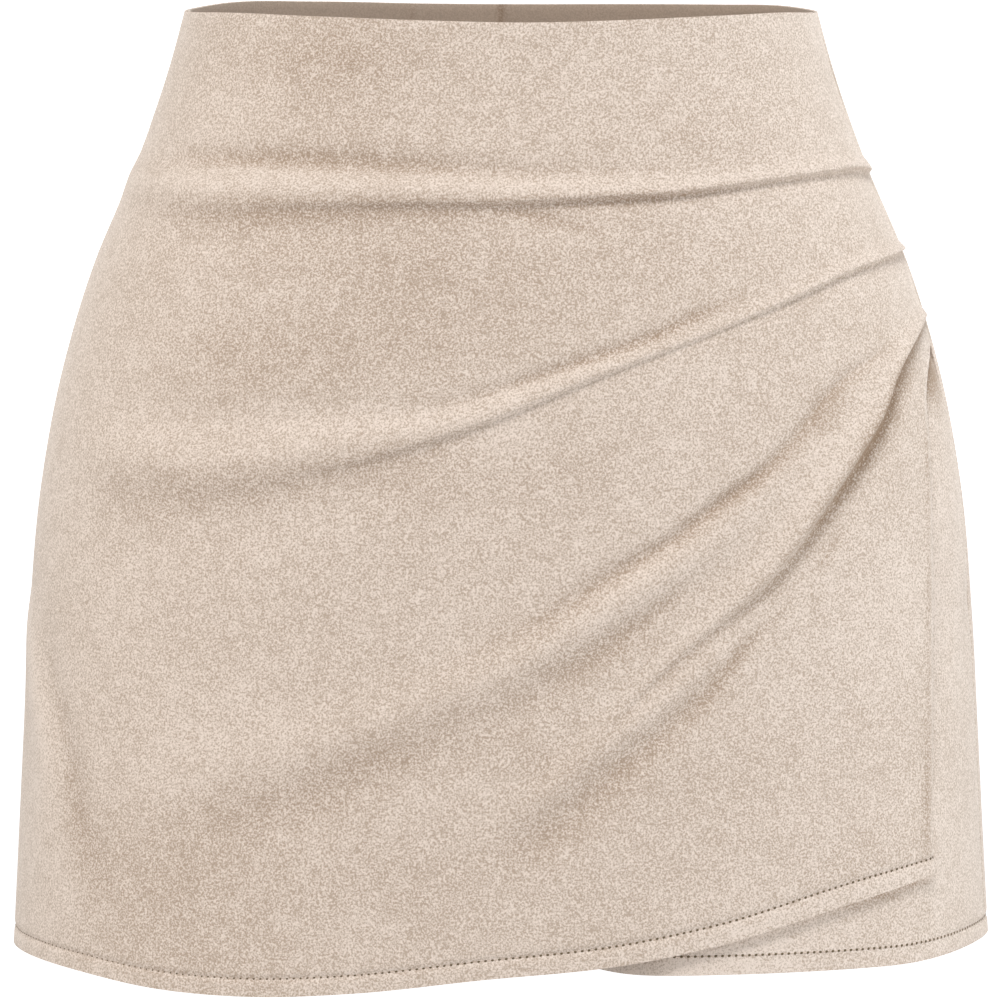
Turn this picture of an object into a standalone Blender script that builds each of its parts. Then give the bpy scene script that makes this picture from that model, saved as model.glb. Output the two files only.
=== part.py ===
"""A high-waisted mini skort in faux suede, in the hollow form it has when worn.

One draped panel wraps the whole front, from the waist to a curved hem. Three tucks are taken into
its seam at the wearer's left side, and below them its free edge hangs over the shorts beneath. The
shorts are four panels: a front and a back for each leg, joined at the sides, centre and inseams.

Units are metres and +Z is up. The front faces -Y, +X is the wearer's left, and the origin is the
middle of the waist opening. Heights are given as drops: distances down from the waist.
"""

import bpy
import numpy as np


def table(columns, *rows):
    """A short table, kept as a dict of its named columns."""
    return dict(zip(columns.split(), np.array(rows, dtype=float).T))


# ---------------------------------------------------------------- driving sizes

WALL = 0.0010  # the cloth
TURNED_WALL = 0.0020  # cloth turned back on itself, along hems and the free edge
SEAM_GAP = 0.0003  # between pieces that are sewn together
HEM_TURN = 0.0082  # depth of each turned hem
EDGE_TURN = 0.0060  # width of the turned free edge
TURN_STEP = 0.0004  # how far the inner wall takes to step out to the turned wall
LEG_HEM = 0.3724  # drop of the shorts' hems
LEFT_SEAM_FORWARD = 0.0140  # the left side seam lies this far in front of the widest line
RIGHT_SEAM_FORWARD = 0.0
SEAM_END = 0.1310  # drop at which the wrap leaves the left side seam
BODY_ROUNDNESS = 2.3  # 2 is an ellipse, and more is squarer

# The filled-out garment by height. half_width, front and back are the outside of the torso, with
# the wrap panel on its front. The leg columns shape the shorts, in which each row of a leg is an
# oval round a centre of its own, which moves out from the middle of the torso towards the hem.
SECTIONS = table(
    "drop half_width front back leg_front leg_centre leg_roundness",
    (0.000, 0.1260, 0.0880, 0.0880, 0.0880, 0.0000, 2.30),
    (0.020, 0.1315, 0.0900, 0.0920, 0.0900, 0.0000, 2.30),
    (0.060, 0.1455, 0.0960, 0.1040, 0.0960, 0.0000, 2.30),
    (0.100, 0.1623, 0.1030, 0.1180, 0.1030, 0.0000, 2.30),
    (0.140, 0.1745, 0.1080, 0.1290, 0.1080, 0.0000, 2.30),
    (0.190, 0.1840, 0.1120, 0.1350, 0.1110, 0.0080, 2.25),
    (0.240, 0.1885, 0.1145, 0.1345, 0.1065, 0.0480, 1.98),
    (0.290, 0.1912, 0.1168, 0.1310, 0.1022, 0.0957, 1.82),
    (0.330, 0.1932, 0.1184, 0.1285, 0.1010, 0.1000, 1.80),
    (0.380, 0.1958, 0.1200, 0.1270, 0.1000, 0.1040, 1.80),
)

# How far the shorts' fronts lie inside the torso's outline, under the wrap panel: at their side
# seams, and further in, where the wrap's folds need room.
SHORTS_INSET = table(
    "drop at_seam inside",
    (0.000, 0.0013, 0.0013),
    (0.015, 0.0020, 0.0020),
    (0.060, 0.0020, 0.0030),
    (0.100, 0.0016, 0.0030),
    (0.350, 0.0016, 0.0032),
    (0.362, 0.0024, 0.0034),
    (0.380, 0.0024, 0.0034),
)
INSET_ANGLE = 0.11  # from the side seam, the turn over which the shorts' fronts sink to the inside
SEAM_ANGLE = 0.025  # the first and last columns of a panel stay this close, so seams keep their gap
UNCOVER_DROP = 0.025  # below SEAM_END, how soon the left leg comes out past the wrap's edge

# The waist's edge is nearly level: it dips at the centre front and stands up a little behind.
WAIST_RISE = table(
    "x front back",
    (-0.126, 0.0006, 0.0006),
    (-0.112, 0.0014, 0.0022),
    (-0.075, 0.0009, 0.0020),
    (-0.030, -0.0004, 0.0008),
    (0.010, -0.0012, 0.0005),
    (0.050, -0.0003, 0.0007),
    (0.090, 0.0010, 0.0010),
    (0.114, 0.0013, 0.0012),
    (0.126, 0.0003, 0.0003),
)
WAIST_FADE = 0.050  # drop by which the rows are level

# The wrap's curved hem, and its free edge, as seen from the front.
WRAP_HEM = table(
    "x drop",
    (-0.196, 0.3724),
    (-0.168, 0.3752),
    (-0.137, 0.3795),
    (-0.100, 0.3810),
    (-0.059, 0.3788),
    (-0.009, 0.3732),
    (0.049, 0.3674),
    (0.088, 0.3600),
    (0.130, 0.3492),
    (0.173, 0.3382),
)
WRAP_EDGE = table(
    "drop x",
    (0.131, 0.1720),
    (0.135, 0.1694),
    (0.140, 0.1686),
    (0.155, 0.1692),
    (0.190, 0.1710),
    (0.250, 0.1720),
    (0.340, 0.1724),
)

# The folds of the drape, each along its line as seen from the front, from where it fades out to
# the left side seam. lift is how far its crest stands out, sharp is 1 for a tuck that overlaps
# the cloth below it and 0 for a soft roll, and spread widens or narrows it.
UPPER_TUCK = table(
    "x drop lift sharp spread",
    (-0.160, 0.0690, 0.0000, 0.0, 1.00),
    (-0.125, 0.0740, 0.0028, 0.0, 1.00),
    (-0.084, 0.0735, 0.0034, 0.1, 0.95),
    (-0.028, 0.0730, 0.0034, 0.3, 0.90),
    (0.027, 0.0710, 0.0032, 0.6, 0.80),
    (0.069, 0.0695, 0.0030, 0.9, 0.75),
    (0.126, 0.0620, 0.0024, 1.0, 0.70),
    (0.141, 0.0615, 0.0022, 1.0, 0.65),
    (0.150, 0.0660, 0.0018, 1.0, 0.65),
)
MIDDLE_TUCK = table(
    "x drop lift sharp spread",
    (-0.172, 0.1800, 0.0000, 0.0, 1.30),
    (-0.126, 0.1830, 0.0030, 0.0, 1.30),
    (-0.070, 0.1735, 0.0036, 0.1, 1.15),
    (-0.014, 0.1575, 0.0034, 0.3, 0.95),
    (0.041, 0.1360, 0.0030, 0.6, 0.80),
    (0.083, 0.1210, 0.0028, 0.9, 0.70),
    (0.140, 0.0990, 0.0022, 1.0, 0.60),
    (0.162, 0.0945, 0.0017, 1.0, 0.60),
)
SOFT_ROLL = table(
    "x drop lift sharp spread",
    (-0.180, 0.3100, 0.0000, 0.0, 1.30),
    (-0.078, 0.2960, 0.0012, 0.0, 1.30),
    (-0.014, 0.2760, 0.0028, 0.0, 1.10),
    (0.027, 0.2500, 0.0034, 0.0, 0.80),
    (0.069, 0.2160, 0.0032, 0.0, 0.55),
    (0.111, 0.1780, 0.0026, 0.0, 0.35),
    (0.140, 0.1460, 0.0012, 0.0, 0.22),
    (0.158, 0.1230, 0.0004, 0.0, 0.14),
    (0.170, 0.1070, 0.0000, 0.0, 0.12),
)
LOWER_TUCK = table(
    "x drop lift sharp spread",
    (-0.190, 0.3560, 0.0000, 0.0, 0.40),
    (-0.060, 0.3440, 0.0000, 0.0, 0.50),
    (0.008, 0.3130, 0.0014, 0.0, 0.60),
    (0.041, 0.2720, 0.0026, 0.2, 0.60),
    (0.083, 0.2340, 0.0032, 0.6, 0.62),
    (0.118, 0.2020, 0.0034, 1.0, 0.62),
    (0.144, 0.1600, 0.0030, 1.0, 0.48),
    (0.158, 0.1360, 0.0020, 1.0, 0.36),
    (0.170, 0.1190, 0.0009, 1.0, 0.30),
)

# A fold's section, from above its line to below it: how far each row of points lies from the line,
# and its share of the lift. A tuck drops steeply from its lip. A roll has a hollow on either side.
FOLD_SECTION = table(
    "tuck_offset tuck_lift roll_offset roll_lift",
    (-0.0150, 0.10, -0.0260, 0.00),
    (-0.0095, 0.42, -0.0200, -0.25),
    (-0.0048, 0.80, -0.0145, 0.45),
    (-0.0014, 1.00, -0.0100, 1.00),
    (0.0010, 0.74, -0.0055, 0.60),
    (0.0020, 0.24, -0.0015, -0.10),
    (0.0034, 0.00, 0.0020, -0.25),
    (0.0090, 0.00, 0.0110, 0.00),
)
FOLDS = (UPPER_TUCK, MIDDLE_TUCK, SOFT_ROLL, LOWER_TUCK)
ROWS_BETWEEN = (4, 3, 2, 1, 8)  # rows of points above, between and below the folds
WRAP_COLUMNS = 38
EASE_DROP = 0.100  # above and below the seam's end, where the columns turn towards the free edge
EASE_POWER = 8  # the higher, the fewer columns follow the step in the boundary there
EDGE_METRES_PER_RADIAN = 0.126  # along the torso's outline, near the free edge

# The shorts' rows of points, closer together where the crotch seam turns under.
SHORTS_DROPS = (
    (0.000, 0.015, 0.040, 0.070, 0.100, 0.135, 0.168, 0.196, 0.218, 0.236)
    + (0.250, 0.262, 0.272, 0.280, 0.286, 0.290, 0.304, 0.324, 0.344)
)
SHORTS_COLUMNS = 19
DART_LENGTH = 0.0950  # a waist dart in each back
DART_FROM_CENTRE = 0.0370
DART_HALF_WIDTH = 0.0016
DART_DEPTH = 0.0007
DART_COLUMN = 15  # the column of points that follows the dart

SUEDE_COLOUR = (0.64, 0.51, 0.41, 1.0)
SUEDE_ROUGHNESS = 0.95

# ---------------------------------------------------------------- the garment's form


def smooth(at, places, values):
    """Reads a table along a smooth curve through its points, level beyond its ends."""
    slopes = np.gradient(values, places)
    at = np.clip(at, places[0], places[-1])
    i = np.clip(np.searchsorted(places, at) - 1, 0, len(places) - 2)
    span = places[i + 1] - places[i]
    t = (at - places[i]) / span
    start = (1 + 2 * t) * (1 - t) ** 2 * values[i] + t * (1 - t) ** 2 * span * slopes[i]
    end = t * t * (3 - 2 * t) * values[i + 1] - t * t * (1 - t) * span * slopes[i + 1]
    return start + end


def section(column, drop):
    return smooth(drop, SECTIONS["drop"], SECTIONS[column])


def power(value, exponent):
    """A power that keeps its sign, for ovals that aren't ellipses."""
    return np.sign(value) * np.abs(value) ** exponent


def oval(angle, half_width, depth, roundness):
    """Points on an oval and the way straight out of it. The angle runs from +X towards -Y."""
    across, forward = np.cos(angle), np.sin(angle)
    x = half_width * power(across, 2 / roundness)
    y = -depth * power(forward, 2 / roundness)
    out_x = power(across, 2 - 2 / roundness) / half_width
    out_y = -power(forward, 2 - 2 / roundness) / depth
    length = np.hypot(out_x, out_y)
    return x, y, out_x / length, out_y / length


def angle_forward(share, roundness):
    """The angle at which an oval is this share of its depth in front of its widest line."""
    return np.arcsin(power(np.clip(share, -1, 1), roundness / 2))


def angle_across(share, roundness):
    """The angle at which an oval is this share of its half width out from its centre."""
    return np.arccos(power(np.clip(share, -1, 1), roundness / 2))


def waist_rise(column, x, drop):
    """How far the waist's edge stands up, fading out a little way below it."""
    fade = np.clip(1 - drop / WAIST_FADE, 0, 1)
    return fade * smooth(x, WAIST_RISE["x"], WAIST_RISE[column])


# ---------------------------------------------------------------- the wrap panel


def wrap_end(drop):
    """The angle of the wrap's boundary at the left: the side seam, then the free edge."""
    front, half_width = section("front", drop), section("half_width", drop)
    seam = angle_forward((LEFT_SEAM_FORWARD + SEAM_GAP / 2) / front, BODY_ROUNDNESS)
    edge_x = smooth(drop, WRAP_EDGE["drop"], WRAP_EDGE["x"])
    edge = angle_across(edge_x / half_width, BODY_ROUNDNESS)
    return np.where(drop > SEAM_END, np.maximum(seam, edge), seam)


def wrap_angle(drop):
    """The angle of each column of points, for an array of drops whose last axis is the columns.

    The last three columns keep the width of the turned edge, and the others are even. Where the
    boundary steps in at the seam's end, only the columns near it follow it closely.
    """
    first = np.pi - angle_forward(SEAM_GAP / 2 / section("front", drop), BODY_ROUNDNESS)
    turn = np.array((EDGE_TURN + TURN_STEP, EDGE_TURN, 0.0)) / EDGE_METRES_PER_RADIAN
    even = WRAP_COLUMNS - len(turn)
    from_seam = np.linspace(SEAM_ANGLE / np.pi, 1, even - 1)
    share = np.concatenate(((0,), from_seam, np.ones(len(turn))))
    inward = np.concatenate((np.full(even, 2 * turn[0]), turn))
    eased_drops = np.array((SEAM_END - EASE_DROP, SEAM_END + EASE_DROP))
    eased = np.interp(drop, eased_drops, wrap_end(eased_drops))
    eased = np.where(np.abs(drop - SEAM_END) < EASE_DROP, eased, wrap_end(drop))
    end = eased + (wrap_end(drop) - eased) * share**EASE_POWER
    return first + (end + inward - first) * share


def wrap_oval(drop):
    half_width, front = section("half_width", drop), section("front", drop)
    return oval(wrap_angle(drop), half_width, front, BODY_ROUNDNESS)


def line_drops(line):
    """The drop at which each column meets a line that is drawn as seen from the front."""
    drop = np.full(WRAP_COLUMNS, line["drop"].mean())
    for _ in range(30):
        drop = (drop + smooth(wrap_oval(drop)[0], line["x"], line["drop"])) / 2
    return drop


def fold_rows(line):
    """The drops and lifts of one fold's rows of points, each an array of rows by columns."""
    drop = line_drops(line)
    x, y, _, _ = wrap_oval(drop)
    along = np.concatenate(([0], np.cumsum(np.hypot(np.diff(x), np.diff(y)))))
    steepness = np.hypot(1, np.gradient(drop, along))
    lift, sharp, spread = (smooth(x, line["x"], line[name]) for name in ("lift", "sharp", "spread"))
    tuck_offset, tuck_lift, roll_offset, roll_lift = (
        column[:, None] for column in FOLD_SECTION.values()
    )
    offset = spread * (sharp * tuck_offset + (1 - sharp) * roll_offset)
    return drop + offset * steepness, lift * (sharp * tuck_lift + (1 - sharp) * roll_lift)


def wrap_rows():
    """The drops and lifts of every row of the wrap, from the waist to the hem."""
    hem = line_drops(WRAP_HEM) - np.array(((HEM_TURN,), (HEM_TURN - TURN_STEP,), (0.0,)))
    drops, lifts = [np.zeros((1, WRAP_COLUMNS))], [np.zeros((1, WRAP_COLUMNS))]
    for count, (low_drops, low_lifts) in zip(
        ROWS_BETWEEN, [fold_rows(line) for line in FOLDS] + [(hem, np.zeros_like(hem))]
    ):
        share = (np.arange(1, count + 1) / (count + 1))[:, None]
        drops += [drops[-1][-1] + (low_drops[0] - drops[-1][-1]) * share, low_drops]
        lifts += [lifts[-1][-1] + (low_lifts[0] - lifts[-1][-1]) * share, low_lifts]
    return np.concatenate(drops), np.concatenate(lifts)


def wrap_panel():
    """The wrap's points, rows by columns, and which of them are on turned cloth."""
    drop, lift = wrap_rows()
    x, y, out_x, out_y = wrap_oval(drop)
    z = -drop + waist_rise("front", x, drop)
    points = np.stack((x + lift * out_x, y + lift * out_y, z), axis=-1)
    turned = np.zeros(drop.shape, dtype=bool)
    turned[-2:] = True
    turned[:, -2:] |= drop[:, -2:] > SEAM_END
    return points, turned


# ---------------------------------------------------------------- the shorts


def shorts_panel(is_left, is_front):
    """A shorts panel's points, rows by columns, and which of them are on turned cloth.

    Rows run from the side seam round to the centre seam or, below the crotch, to the inseam.
    """
    hem = (LEG_HEM - HEM_TURN, LEG_HEM - HEM_TURN + TURN_STEP, LEG_HEM)
    drop = np.array(SHORTS_DROPS + hem)[:, None]
    face = "front" if is_front else "back"
    centre, roundness = section("leg_centre", drop), section("leg_roundness", drop)
    front, back = section("leg_front", drop), section("back", drop)
    half_width = section("half_width", drop) - centre
    at_seam, inside = (
        np.interp(drop, SHORTS_INSET["drop"], SHORTS_INSET[name]) * is_front
        for name in ("at_seam", "inside")
    )
    uncovered = np.clip((drop - SEAM_END) / UNCOVER_DROP, 0, 1) * (is_left and is_front)
    at_seam = at_seam * (1 - uncovered)

    seam_forward = LEFT_SEAM_FORWARD if is_left else RIGHT_SEAM_FORWARD
    away = SEAM_GAP if is_front else -SEAM_GAP / 2
    start = angle_forward((seam_forward + away) / (front - at_seam), roundness)
    depth = front if is_front else back
    centre_seam = angle_across((SEAM_GAP / 2 - centre) / (half_width - inside), roundness)
    inseam = np.pi - angle_forward(SEAM_GAP / 2 / depth, roundness)
    end = np.minimum(centre_seam, inseam) * (1 if is_front else -1)

    near_seam = SEAM_ANGLE / np.abs(end - start)
    share = near_seam + (1 - 2 * near_seam) * np.linspace(0, 1, SHORTS_COLUMNS - 2)
    share = np.pad(share, ((0, 0), (1, 1)), constant_values=((0, 0), (0, 1)))
    groove = np.zeros_like(share)
    if not is_front:
        share, groove = with_dart(share, drop, start, end, half_width, roundness)
    angle = start + (end - start) * share
    edge_x = smooth(drop, WRAP_EDGE["drop"], WRAP_EDGE["x"])
    edge = angle_across((edge_x - centre) / half_width, roundness)
    reach = np.where(uncovered > 0, np.maximum(edge - start, SEAM_ANGLE), INSET_ANGLE)
    covered = np.clip((angle - start) / reach, 0, 1)
    sunk = groove + at_seam + (inside - at_seam) * np.sin(covered * np.pi / 2)
    depth = np.where(angle > 0, front, back)
    x, y, _, _ = oval(angle, half_width - sunk, depth - sunk, roundness)
    x = x + centre
    side = 1 if is_left else -1
    z = -drop + waist_rise(face, side * x, drop)
    turned = np.zeros(x.shape, dtype=bool)
    turned[-2:] = True
    return np.stack((side * x, y, z), axis=-1), turned


def with_dart(share, drop, start, end, half_width, roundness):
    """Moves three columns of a back onto its dart, and sinks the middle one where it is sewn."""
    sewn = np.clip(1 - drop / DART_LENGTH, 0, 1) ** 0.5
    dart_angle = -angle_across(DART_FROM_CENTRE / half_width, roundness)
    beside = DART_HALF_WIDTH / (half_width * np.abs(end - start))
    groove = np.zeros_like(share)
    groove[:, DART_COLUMN] = (DART_DEPTH * sewn)[:, 0]
    moved = share.copy()
    for step in (-1, 0, 1):
        column = DART_COLUMN + step
        on_dart = ((dart_angle - start) / (end - start) + step * beside)[:, 0]
        follow = np.clip(2 - drop / DART_LENGTH, 0, 1)[:, 0]
        moved[:, column] = share[:, column] + (on_dart - share[:, column]) * follow
    return moved, groove


# ---------------------------------------------------------------- building the pieces


def suede(name):
    material = bpy.data.materials.new(name)
    material.use_nodes = True
    shader = material.node_tree.nodes["Principled BSDF"]
    shader.inputs["Base Color"].default_value = SUEDE_COLOUR
    shader.inputs["Roughness"].default_value = SUEDE_ROUGHNESS
    shader.inputs["Metallic"].default_value = 0.0
    return material


def add_panel(name, points, turned, faces_out):
    """A panel of cloth: an open loft through its rows of points, thickened inwards."""
    rows, columns, _ = points.shape
    faces = []
    for row in range(rows - 1):
        for column in range(columns - 1):
            corner = row * columns + column
            face = (corner, corner + columns, corner + columns + 1, corner + 1)
            faces.append(face if faces_out else face[::-1])
    mesh = bpy.data.meshes.new(name)
    mesh.from_pydata(points.reshape(-1, 3).tolist(), [], faces)
    mesh.shade_smooth()
    mesh.materials.append(suede(name))
    panel = bpy.data.objects.new(name, mesh)
    SKORT.objects.link(panel)

    doubled = panel.vertex_groups.new(name="turned")
    doubled.add(np.flatnonzero(turned).tolist(), 1.0, "REPLACE")
    wall = panel.modifiers.new("wall", "SOLIDIFY")
    wall.thickness = TURNED_WALL
    wall.offset = -1.0
    wall.vertex_group = doubled.name
    wall.thickness_vertex_group = WALL / TURNED_WALL
    return panel


for leftover in list(bpy.data.objects):
    bpy.data.objects.remove(leftover)
SKORT = bpy.data.collections.new("wrap skort")
bpy.context.scene.collection.children.link(SKORT)

add_panel("wrap_front", *wrap_panel(), faces_out=True)
for side_name in ("left", "right"):
    for face_name in ("front", "back"):
        is_left, is_front = side_name == "left", face_name == "front"
        panel_points = shorts_panel(is_left, is_front)
        add_panel(f"shorts_{face_name}_{side_name}", *panel_points, faces_out=is_left != is_front)
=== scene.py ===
"""The looks of a high-waisted mini skort in beige faux suede, hollow, in the form it has when worn.

Metres, +Z up. The front faces -Y, +X is the wearer's left, and the origin is the middle of the
waist opening. Heights are drops, distances down from the waist.
"""

import math

import bpy
import numpy as np
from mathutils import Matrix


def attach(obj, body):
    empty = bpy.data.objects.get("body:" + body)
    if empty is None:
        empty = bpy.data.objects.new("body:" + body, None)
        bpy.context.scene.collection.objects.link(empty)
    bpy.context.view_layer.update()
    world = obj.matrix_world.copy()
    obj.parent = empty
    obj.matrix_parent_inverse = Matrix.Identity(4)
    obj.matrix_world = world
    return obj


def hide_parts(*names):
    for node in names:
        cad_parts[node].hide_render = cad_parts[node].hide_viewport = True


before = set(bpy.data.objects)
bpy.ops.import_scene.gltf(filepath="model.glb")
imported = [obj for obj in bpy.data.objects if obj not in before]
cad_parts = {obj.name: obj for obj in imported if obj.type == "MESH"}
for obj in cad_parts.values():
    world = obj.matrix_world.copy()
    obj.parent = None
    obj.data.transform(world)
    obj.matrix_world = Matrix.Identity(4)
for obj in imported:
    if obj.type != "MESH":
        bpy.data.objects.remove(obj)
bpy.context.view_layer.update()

# ------------------------ the draped wrap panel
# One piece of faux suede crosses the whole front, from the waist to a curved hem. It is sewn in at
# the waist and both side seams, with three tucks taken into the seam at the wearer's left. Below
# them its edge hangs free, turned in by 6 mm, and the hem is turned up by 8 mm and stitched.

WALL = 0.0010
TURNED_WALL = 0.0020  # where the cloth is doubled, along hems and the free edge
TURN_STEP = 0.0004  # how far the inner wall takes to step out to the doubled one
HEM_TURN = 0.0082  # the depth of the turned hems
EDGE_TURN = 0.0060  # the width of the turned free edge
SEAM_END = 0.1310  # drop at which the wrap leaves the left side seam
LEFT_SEAM_FORWARD = 0.0140  # the left side seam lies this far in front of the widest line
BODY_ROUNDNESS = 2.3  # 2 is an ellipse, and more is squarer
RIM_ROUND = 0.00035  # the softened corners of every cut or turned edge


def table(columns, *rows):
    """A short table, kept as a dict of its named columns."""
    return dict(zip(columns.split(), np.array(rows, dtype=float).T))


def fold(*rows):
    """A big fold, from where it fades out to the left side seam: its line as seen from the front,
    how far its crest stands out, 1 for a sharply folded tuck or 0 for a soft roll, how wide it is
    beside the profiles below, and how much shade is painted into its pocket.
    """
    return table("x drop lift sharp spread dark", *rows)


def crease(*rows):
    """A small crease: its line as seen from the front, how high it stands or how deep it sinks, its
    half width, and how much light or shade is painted along it.
    """
    return table("x drop height width nap", *rows)


# The outside of the filled-out garment. The wrap goes round the front of one wide oval. Each half
# of the shorts goes round an oval of its own, whose centre moves out from the middle to its leg.
SECTIONS = table(
    "drop half_width front back leg_front leg_centre leg_roundness",
    (0, 0.126, 0.088, 0.088, 0.088, 0, 2.3),
    (0.02, 0.1315, 0.09, 0.092, 0.09, 0, 2.3),
    (0.06, 0.1455, 0.096, 0.104, 0.096, 0, 2.3),
    (0.1, 0.1623, 0.103, 0.118, 0.103, 0, 2.3),
    (0.14, 0.1745, 0.108, 0.129, 0.108, 0, 2.3),
    (0.19, 0.184, 0.112, 0.135, 0.111, 0.008, 2.25),
    (0.24, 0.1885, 0.1145, 0.1345, 0.1065, 0.048, 1.98),
    (0.29, 0.1912, 0.1168, 0.131, 0.1022, 0.0957, 1.82),
    (0.33, 0.1932, 0.1184, 0.1285, 0.101, 0.1, 1.8),
    (0.38, 0.1958, 0.12, 0.127, 0.1, 0.104, 1.8),
)
# How far the waist's edge stands above its level, and the drop at which that has faded out.
WAIST_RISE = table(
    "x front back",
    (-0.126, 0.0006, 0.0006),
    (-0.112, 0.0014, 0.0022),
    (-0.075, 0.0009, 0.0020),
    (-0.030, -0.0004, 0.0008),
    (0.010, -0.0012, 0.0005),
    (0.050, -0.0003, 0.0007),
    (0.090, 0.0010, 0.0010),
    (0.114, 0.0013, 0.0012),
    (0.126, 0.0003, 0.0003),
)
WAIST_FADE = 0.050
# The wrap's hem as seen from the front, and how deep it is turned beside its usual depth.
WRAP_HEM = table(
    "x drop",
    (-0.196, 0.3714),
    (-0.168, 0.3752),
    (-0.137, 0.3795),
    (-0.100, 0.3810),
    (-0.059, 0.3788),
    (-0.009, 0.3732),
    (0.049, 0.3674),
    (0.088, 0.3600),
    (0.130, 0.3484),
    (0.173, 0.3376),
)
HEM_DEPTH = table(
    "x share",
    (-0.196, 0.91),
    (0, 1),
    (0.09, 1.12),
    (0.14, 1.08),
    (0.173, 0.86),
)
# The wrap's free edge below the seam's end, and the shade painted on the cloth beside it.
WRAP_EDGE = table(
    "drop x nap",
    (0.1310, 0.1716, 0.00),
    (0.1365, 0.1704, 0.00),
    (0.1430, 0.1694, 0.00),
    (0.1520, 0.1688, 0.00),
    (0.1630, 0.1695, -0.08),
    (0.1750, 0.1703, -0.18),
    (0.2000, 0.1708, -0.16),
    (0.2250, 0.1710, -0.30),
    (0.2500, 0.1710, -0.18),
    (0.2800, 0.1710, -0.14),
    (0.3000, 0.1710, -0.26),
    (0.3220, 0.1708, -0.20),
    (0.3400, 0.1722, -0.14),
)

UPPER_TUCK = fold(
    (-0.16, 0.07, 0, 0, 1, 0),
    (-0.145, 0.072, 0.0012, 0, 1, 0.05),
    (-0.125, 0.0738, 0.0028, 0, 0.95, 0.18),
    (-0.084, 0.0728, 0.0036, 0.1, 0.85, 0.29),
    (-0.028, 0.0716, 0.0034, 0.3, 0.7, 0.28),
    (0, 0.0713, 0.0033, 0.45, 0.65, 0.3),
    (0.027, 0.0698, 0.0031, 0.6, 0.6, 0.36),
    (0.069, 0.0676, 0.0028, 0.9, 0.5, 0.42),
    (0.1, 0.064, 0.0024, 1, 0.45, 0.16),
    (0.126, 0.0613, 0.0024, 1, 0.45, 0.18),
    (0.143, 0.0613, 0.0024, 1, 0.45, 0.22),
    (0.15, 0.066, 0.0022, 1, 0.45, 0.22),
)
MIDDLE_TUCK = fold(
    (-0.172, 0.181, 0, 0, 1.4, 0),
    (-0.15, 0.183, 0.002, 0, 1.4, 0.05),
    (-0.115, 0.183, 0.0034, 0, 1.3, 0.14),
    (-0.07, 0.175, 0.0036, 0.1, 1.1, 0.14),
    (-0.014, 0.159, 0.0027, 0.4, 0.55, 0.12),
    (0.041, 0.137, 0.0019, 0.7, 0.42, 0),
    (0.083, 0.1215, 0.0013, 0.9, 0.38, 0),
    (0.112, 0.1098, 0.0018, 1, 0.38, 0.02),
    (0.14, 0.0985, 0.0022, 1, 0.38, 0.2),
    (0.162, 0.0932, 0.0022, 1, 0.38, 0.25),
)
# The soft fold is formed by small creases. This line lifts nothing: it only draws rows of points
# close to them.
SOFT_FOLD = fold(
    (-0.18, 0.295, 0, 0, 0.8, 0),
    (-0.118, 0.28, 0, 0, 0.8, 0),
    (-0.056, 0.264, 0, 0, 0.75, 0),
    (-0.014, 0.249, 0, 0, 0.65, 0),
    (0.027, 0.231, 0, 0, 0.5, 0),
    (0.061, 0.2085, 0, 0, 0.4, 0),
    (0.083, 0.1915, 0, 0, 0.34, 0),
    (0.111, 0.1685, 0, 0, 0.26, 0),
    (0.131, 0.15, 0, 0, 0.18, 0),
    (0.15, 0.129, 0, 0, 0.1, 0),
    (0.17, 0.104, 0, 0, 0.06, 0),
)
LOWER_TUCK = fold(
    (-0.19, 0.354, 0, 0, 0.4, 0),
    (-0.06, 0.344, 0, 0, 0.5, 0),
    (0, 0.324, 0, 0, 0.5, 0),
    (0.016, 0.306, 0.0001, 0.2, 0.5, 0),
    (0.041, 0.276, 0.0006, 0.5, 0.5, 0.05),
    (0.068, 0.2489, 0.0014, 0.8, 0.6, 0.12),
    (0.0876, 0.2325, 0.0022, 1, 0.85, 0.2),
    (0.1038, 0.219, 0.0034, 1, 1, 0.32),
    (0.1156, 0.2053, 0.0044, 1, 1.1, 0.4),
    (0.1259, 0.1906, 0.005, 1, 1.15, 0.46),
    (0.1381, 0.1731, 0.0053, 1, 1.15, 0.5),
    (0.1496, 0.1543, 0.005, 1, 0.95, 0.55),
    (0.1545, 0.1408, 0.0042, 1, 0.68, 0.55),
    (0.1685, 0.12, 0.0016, 1, 0.36, 0.4),
)
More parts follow.
